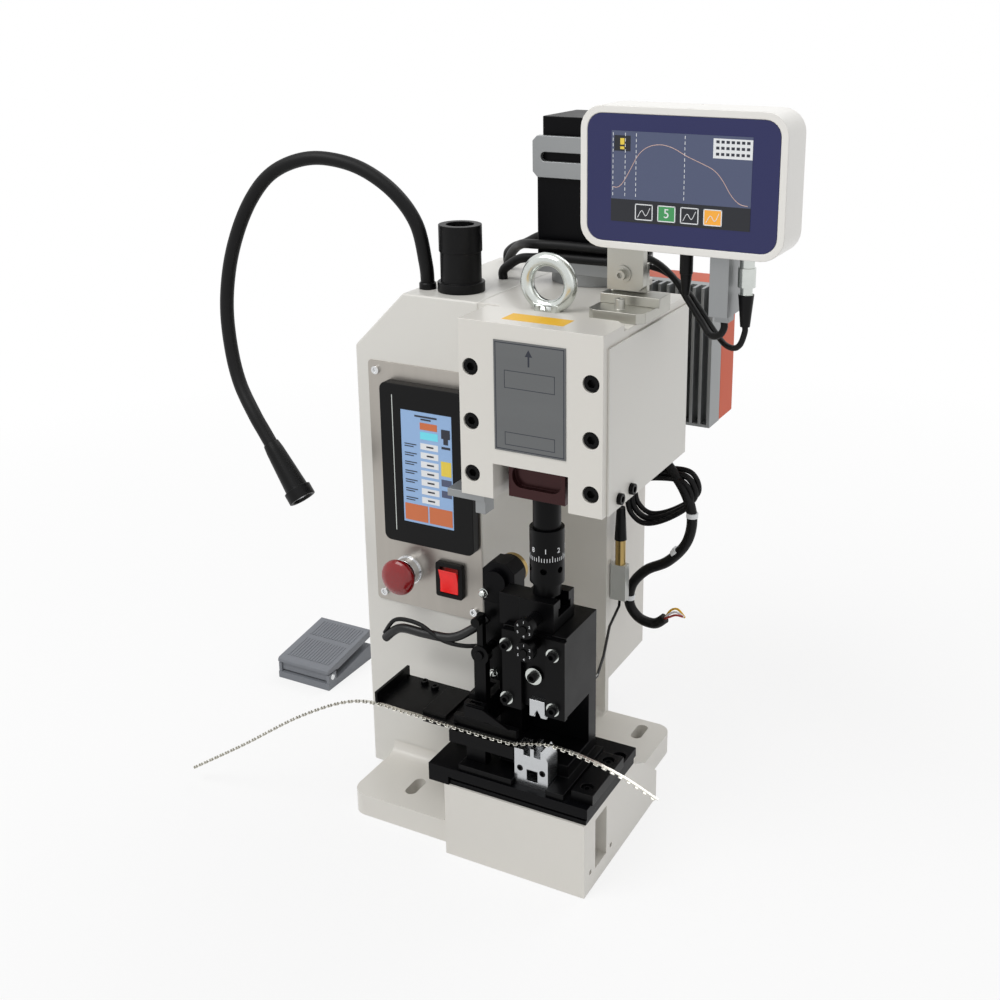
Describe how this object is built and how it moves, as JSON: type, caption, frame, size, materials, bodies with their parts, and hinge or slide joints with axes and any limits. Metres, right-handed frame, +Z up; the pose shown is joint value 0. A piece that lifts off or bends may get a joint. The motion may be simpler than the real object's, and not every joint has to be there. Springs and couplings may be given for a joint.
{
  "type": "terminal crimping machine",
  "caption": "Bench-top terminal crimping press with side-feed applicator, touch-panel cabinet, force monitor, gooseneck lamp and foot pedal.",
  "frame": {"origin": "centre of the pedestal's underside, on the bench", "axes": "+Z up, +Y from the operator to the back of the machine, +X to the operator's right"},
  "size_m": [0.6185, 0.5056, 0.6878],
  "materials": {
    "cast_white": "cream white paint, semi-gloss",
    "black_steel": "black oxide",
    "black_plastic": "matt",
    "steel": "ground",
    "zinc": "zinc plated",
    "alu": "satin",
    "grey_metal": "cast, satin",
    "stainless": "brushed",
    "maroon": "dark, oiled",
    "red_plastic": "gloss",
    "orange_paint": "satin",
    "white_plastic": "satin gloss",
    "blue_film": "gloss",
    "screen": "lit screen",
    "cord_black": "matt",
    "brassy": "satin",
    "pedal_grey": "textured",
    "tin": "tin plated"
  },
  "bodies": {
    "frame": {"base_casting": "cast_white", "column": "cast_white", "rear_box": "cast_white", "head_frame": "cast_white", "head_cap": "cast_white", "frame_screws": "black_steel", "side_panel": "cast_white", "deck_plate": "cast_white", "cabinet_shell": "cast_white", "leg_bracket": "grey_metal", "bolster_lower": "black_steel", "bolster_upper": "black_steel", "bolster_clamps": "black_steel", "control_panel": "stainless", "hmi_bezel": "black_plastic", "hmi_glass": "screen", "estop_collar": "zinc", "rocker_bezel": "black_plastic", "reel_socket": "black_plastic", "eye_bolt": "zinc", "gooseneck": "black_plastic", "lamp_head": "black_plastic", "motor_body": "black_steel", "motor_adaptor": "grey_metal", "motor_strap": "grey_metal", "drive_body": "grey_metal", "drive_cover": "orange_paint", "monitor_base": "alu", "monitor_foot": "alu", "deck_cables": "cord_black", "side_harness": "cord_black", "sensor_lead": "cord_black", "app_base": "black_steel", "app_frame": "black_steel", "app_strips": "black_steel", "anvil_block": "steel", "feed_track": "black_steel", "feed_cylinder": "black_plastic", "terminal_strip": "tin", "pedal_base": "pedal_grey", "pedal_cord": "cord_black", "pedal_coil": "cord_black", "cord_glands": "black_plastic"},
    "ram": {"ram_block": "maroon", "spindle": "black_steel", "app_ram": "black_steel", "punches": "steel"},
    "dial": {"dial": "black_steel"},
    "disc_upper": {"disc_upper": "black_steel"},
    "disc_lower": {"disc_lower": "black_steel"},
    "estop": {"estop_cap": "red_plastic"},
    "rocker": {"rocker_key": "red_plastic"},
    "treadle": {"pedal_treadle": "pedal_grey"},
    "feed_slide": {"feed_slide": "black_steel"},
    "feed_lever": {"feed_lever": "black_steel"},
    "monitor": {"monitor_arm": "alu", "monitor_shell": "white_plastic", "monitor_face": "blue_film", "monitor_connectors": "black_plastic", "monitor_cables": "cord_black"}
  },
  "joints": [
    {"name": "ram_stroke", "type": "slide", "parent": "frame", "child": "ram", "axis": [0, 0, -1], "range_m": [0, 0.03]},
    {"name": "dial_turn", "type": "hinge", "parent": "ram", "child": "dial", "pos_m": [0.011, -0.02515, 0.3], "axis": [0, 0, 1], "continuous": true},
    {"name": "disc_upper_turn", "type": "hinge", "parent": "ram", "child": "disc_upper", "pos_m": [0.011, -0.066, 0.249], "axis": [0, -1, 0], "continuous": true},
    {"name": "disc_lower_turn", "type": "hinge", "parent": "ram", "child": "disc_lower", "pos_m": [0.011, -0.066, 0.227], "axis": [0, -1, 0], "continuous": true},
    {"name": "estop_push", "type": "slide", "parent": "frame", "child": "estop", "axis": [0, 1, 0], "range_m": [0, 0.004], "stiffness_N_per_m": 900},
    {"name": "rocker_tilt", "type": "hinge", "parent": "frame", "child": "rocker", "pos_m": [-0.1138, 0.0127, 0.2322], "axis": [1, 0, 0], "range_deg": [-14, 0]},
    {"name": "treadle_press", "type": "hinge", "parent": "frame", "child": "treadle", "pos_m": [-0.379, 0.119, 0.014], "axis": [1, 0, 0], "range_deg": [-6, 0], "stiffness_Nm_per_rad": 12, "springref_deg": 8.59},
    {"name": "feed_stroke", "type": "slide", "parent": "frame", "child": "feed_slide", "axis": [1, 0, 0], "range_m": [-0.012, 0]},
    {"name": "feed_rock", "type": "hinge", "parent": "frame", "child": "feed_lever", "pos_m": [-0.0475, -0.042, 0.198], "axis": [0, 1, 0], "range_deg": [0, 13.8]},
    {"name": "monitor_tilt", "type": "hinge", "parent": "frame", "child": "monitor", "pos_m": [0.0525, 0.042, 0.5433], "axis": [0, 1, 0], "range_deg": [-10, 10]}
  ],
  "couplings": [
    {"joint": "feed_rock", "follows": "feed_stroke", "rad_per_m": -20}
  ]
}
